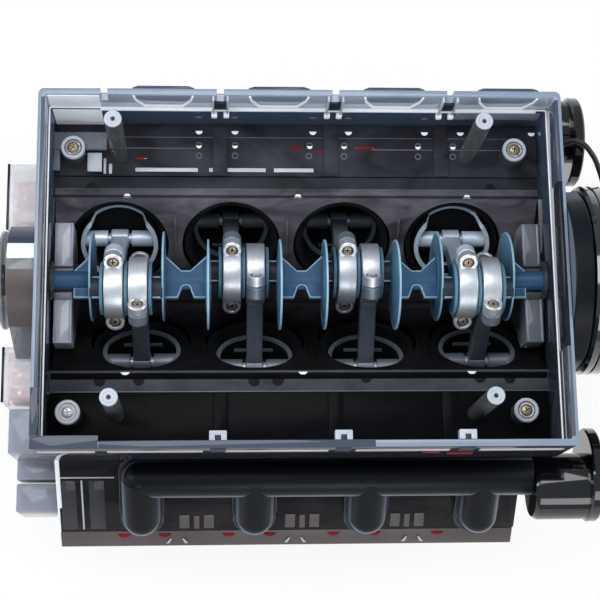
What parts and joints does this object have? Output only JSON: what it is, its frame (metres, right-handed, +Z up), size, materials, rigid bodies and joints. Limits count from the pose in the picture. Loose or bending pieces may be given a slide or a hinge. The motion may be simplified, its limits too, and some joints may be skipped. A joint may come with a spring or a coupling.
{
  "type": "four stroke engine model",
  "caption": "Clear-cased vee engine classroom model, lying on its rocker covers with the sump off, with its crank, connecting rods and pistons showing.",
  "frame": {"origin": "under the middle of the engine, on the surface that its two rocker covers lie on", "axes": "+X along the crankshaft towards the flywheel, +Z up out of the open crankcase"},
  "size_m": [0.2276, 0.1768, 0.1163],
  "materials": {
    "clear_smoke_plastic": "clear smoke-grey plastic, glossy",
    "slate_blue_plastic": "slate blue plastic, satin",
    "silver_metal": "brushed silver",
    "grey_metal": "dark brushed metal",
    "gloss_black_plastic": "gloss black",
    "liner_black_plastic": "satin black",
    "smoke_grey_plastic": "smoke-grey, glossy",
    "red_plastic": "signal red, glossy"
  },
  "bodies": {
    "engine": {"lead_connector": "smoke_grey_plastic", "flywheel_adaptor": "gloss_black_plastic", "motor_housing": "gloss_black_plastic", "intake_manifold": "gloss_black_plastic", "crankcase_skirt": "clear_smoke_plastic", "cylinder_block": "clear_smoke_plastic", "front_bearing_pedestal": "clear_smoke_plastic", "rear_bearing_pedestal": "clear_smoke_plastic", "timing_cover": "clear_smoke_plastic", "front_main_bush": "silver_metal", "rear_main_bush": "silver_metal", "power_lead": "liner_black_plastic", "liner_block_rear": "liner_black_plastic", "cylinder_head_rear": "clear_smoke_plastic", "rocker_cover_rear": "clear_smoke_plastic", "rocker_row_rear": "red_plastic", "exhaust_manifold_rear": "gloss_black_plastic", "exhaust_outlet_rear": "gloss_black_plastic", "liner_block_front": "liner_black_plastic", "cylinder_head_front": "clear_smoke_plastic", "rocker_cover_front": "clear_smoke_plastic", "rocker_row_front": "red_plastic", "exhaust_manifold_front": "gloss_black_plastic", "exhaust_outlet_front": "gloss_black_plastic"},
    "crank": {"crankshaft": "slate_blue_plastic", "crank_pulley": "smoke_grey_plastic", "flywheel": "gloss_black_plastic"},
    "cam": {"camshaft": "slate_blue_plastic"},
    "piston_rear_1": {"piston_rear_1": "silver_metal", "wrist_pin_rear_1": "silver_metal"},
    "rod_rear_1": {"connecting_rod_rear_1": "grey_metal", "rod_cap_rear_1": "silver_metal"},
    "piston_rear_2": {"piston_rear_2": "silver_metal", "wrist_pin_rear_2": "silver_metal"},
    "rod_rear_2": {"connecting_rod_rear_2": "grey_metal", "rod_cap_rear_2": "silver_metal"},
    "piston_rear_3": {"piston_rear_3": "silver_metal", "wrist_pin_rear_3": "silver_metal"},
    "rod_rear_3": {"connecting_rod_rear_3": "grey_metal", "rod_cap_rear_3": "silver_metal"},
    "piston_rear_4": {"piston_rear_4": "silver_metal", "wrist_pin_rear_4": "silver_metal"},
    "rod_rear_4": {"connecting_rod_rear_4": "grey_metal", "rod_cap_rear_4": "silver_metal"},
    "piston_front_1": {"piston_front_1": "silver_metal", "wrist_pin_front_1": "silver_metal"},
    "rod_front_1": {"connecting_rod_front_1": "grey_metal", "rod_cap_front_1": "silver_metal"},
    "piston_front_2": {"piston_front_2": "silver_metal", "wrist_pin_front_2": "silver_metal"},
    "rod_front_2": {"connecting_rod_front_2": "grey_metal", "rod_cap_front_2": "silver_metal"},
    "piston_front_3": {"piston_front_3": "silver_metal", "wrist_pin_front_3": "silver_metal"},
    "rod_front_3": {"connecting_rod_front_3": "grey_metal", "rod_cap_front_3": "silver_metal"},
    "piston_front_4": {"piston_front_4": "silver_metal", "wrist_pin_front_4": "silver_metal"},
    "rod_front_4": {"connecting_rod_front_4": "grey_metal", "rod_cap_front_4": "silver_metal"}
  },
  "joints": [
    {"name": "crank_turn", "type": "hinge", "parent": "engine", "child": "crank", "pos_m": [-0.00425, 0, 0.08092], "axis": [1, 0, 0], "range_deg": [-36, 36]},
    {"name": "cam_turn", "type": "hinge", "parent": "engine", "child": "cam", "pos_m": [-0.00425, 0, 0.03692], "axis": [1, 0, 0], "range_deg": [-18.1, 18.1]},
    {"name": "piston_rear_1_slide", "type": "slide", "parent": "engine", "child": "piston_rear_1", "axis": [0, 0.7071, -0.7071], "range_m": [-0.00073, 0.00073]},
    {"name": "rod_rear_1_swing", "type": "hinge", "parent": "piston_rear_1", "child": "rod_rear_1", "pos_m": [-0.06835, 0.02057, 0.06035], "axis": [1, 0, 0], "range_deg": [-7.68, 7.68]},
    {"name": "piston_rear_2_slide", "type": "slide", "parent": "engine", "child": "piston_rear_2", "axis": [0, 0.7071, -0.7071], "range_m": [-0.00101, 0.00101]},
    {"name": "rod_rear_2_swing", "type": "hinge", "parent": "piston_rear_2", "child": "rod_rear_2", "pos_m": [-0.02835, 0.03031, 0.05062], "axis": [1, 0, 0], "range_deg": [-7.18, 7.18]},
    {"name": "piston_rear_3_slide", "type": "slide", "parent": "engine", "child": "piston_rear_3", "axis": [0, 0.7071, -0.7071], "range_m": [-0.00101, 0.00101]},
    {"name": "rod_rear_3_swing", "type": "hinge", "parent": "piston_rear_3", "child": "rod_rear_3", "pos_m": [0.01165, 0.03031, 0.05062], "axis": [1, 0, 0], "range_deg": [-7.18, 7.18]},
    {"name": "piston_rear_4_slide", "type": "slide", "parent": "engine", "child": "piston_rear_4", "axis": [0, 0.7071, -0.7071], "range_m": [-0.00073, 0.00073]},
    {"name": "rod_rear_4_swing", "type": "hinge", "parent": "piston_rear_4", "child": "rod_rear_4", "pos_m": [0.05165, 0.02057, 0.06035], "axis": [1, 0, 0], "range_deg": [-7.68, 7.68]},
    {"name": "piston_front_1_slide", "type": "slide", "parent": "engine", "child": "piston_front_1", "axis": [0, -0.7071, -0.7071], "range_m": [-0.00434, 0.00434]},
    {"name": "rod_front_1_swing", "type": "hinge", "parent": "piston_front_1", "child": "rod_front_1", "pos_m": [-0.06015, -0.02408, 0.05684], "axis": [1, 0, 0], "range_deg": [-1.37, 1.37]},
    {"name": "piston_front_2_slide", "type": "slide", "parent": "engine", "child": "piston_front_2", "axis": [0, -0.7071, -0.7071], "range_m": [-0.00435, 0.00435]},
    {"name": "rod_front_2_swing", "type": "hinge", "parent": "piston_front_2", "child": "rod_front_2", "pos_m": [-0.02015, -0.02589, 0.05504], "axis": [1, 0, 0], "range_deg": [-1.22, 1.22]},
    {"name": "piston_front_3_slide", "type": "slide", "parent": "engine", "child": "piston_front_3", "axis": [0, -0.7071, -0.7071], "range_m": [-0.00435, 0.00435]},
    {"name": "rod_front_3_swing", "type": "hinge", "parent": "piston_front_3", "child": "rod_front_3", "pos_m": [0.01985, -0.02589, 0.05504], "axis": [1, 0, 0], "range_deg": [-1.22, 1.22]},
    {"name": "piston_front_4_slide", "type": "slide", "parent": "engine", "child": "piston_front_4", "axis": [0, -0.7071, -0.7071], "range_m": [-0.00434, 0.00434]},
    {"name": "rod_front_4_swing", "type": "hinge", "parent": "piston_front_4", "child": "rod_front_4", "pos_m": [0.05985, -0.02408, 0.05684], "axis": [1, 0, 0], "range_deg": [-1.37, 1.37]}
  ],
  "couplings": [
    {"joint": "cam_turn", "follows": "crank_turn", "ratio": -0.5},
    {"joint": "piston_rear_1_slide", "follows": "crank_turn", "m_per_rad": -0.0011539},
    {"joint": "rod_rear_1_swing", "follows": "crank_turn", "ratio": 0.21282},
    {"joint": "piston_rear_2_slide", "follows": "crank_turn", "m_per_rad": 0.0015981},
    {"joint": "rod_rear_2_swing", "follows": "crank_turn", "ratio": -0.19894},
    {"joint": "piston_rear_3_slide", "follows": "crank_turn", "m_per_rad": 0.0015981},
    {"joint": "rod_rear_3_swing", "follows": "crank_turn", "ratio": -0.19894},
    {"joint": "piston_rear_4_slide", "follows": "crank_turn", "m_per_rad": -0.0011539},
    {"joint": "rod_rear_4_swing", "follows": "crank_turn", "ratio": 0.21282},
    {"joint": "piston_front_1_slide", "follows": "crank_turn", "m_per_rad": 0.0068953},
    {"joint": "rod_front_1_swing", "follows": "crank_turn", "ratio": 0.03783},
    {"joint": "piston_front_2_slide", "follows": "crank_turn", "m_per_rad": -0.0069057},
    {"joint": "rod_front_2_swing", "follows": "crank_turn", "ratio": -0.03364},
    {"joint": "piston_front_3_slide", "follows": "crank_turn", "m_per_rad": -0.0069057},
    {"joint": "rod_front_3_swing", "follows": "crank_turn", "ratio": -0.03364},
    {"joint": "piston_front_4_slide", "follows": "crank_turn", "m_per_rad": 0.0068953},
    {"joint": "rod_front_4_swing", "follows": "crank_turn", "ratio": 0.03783}
  ]
}
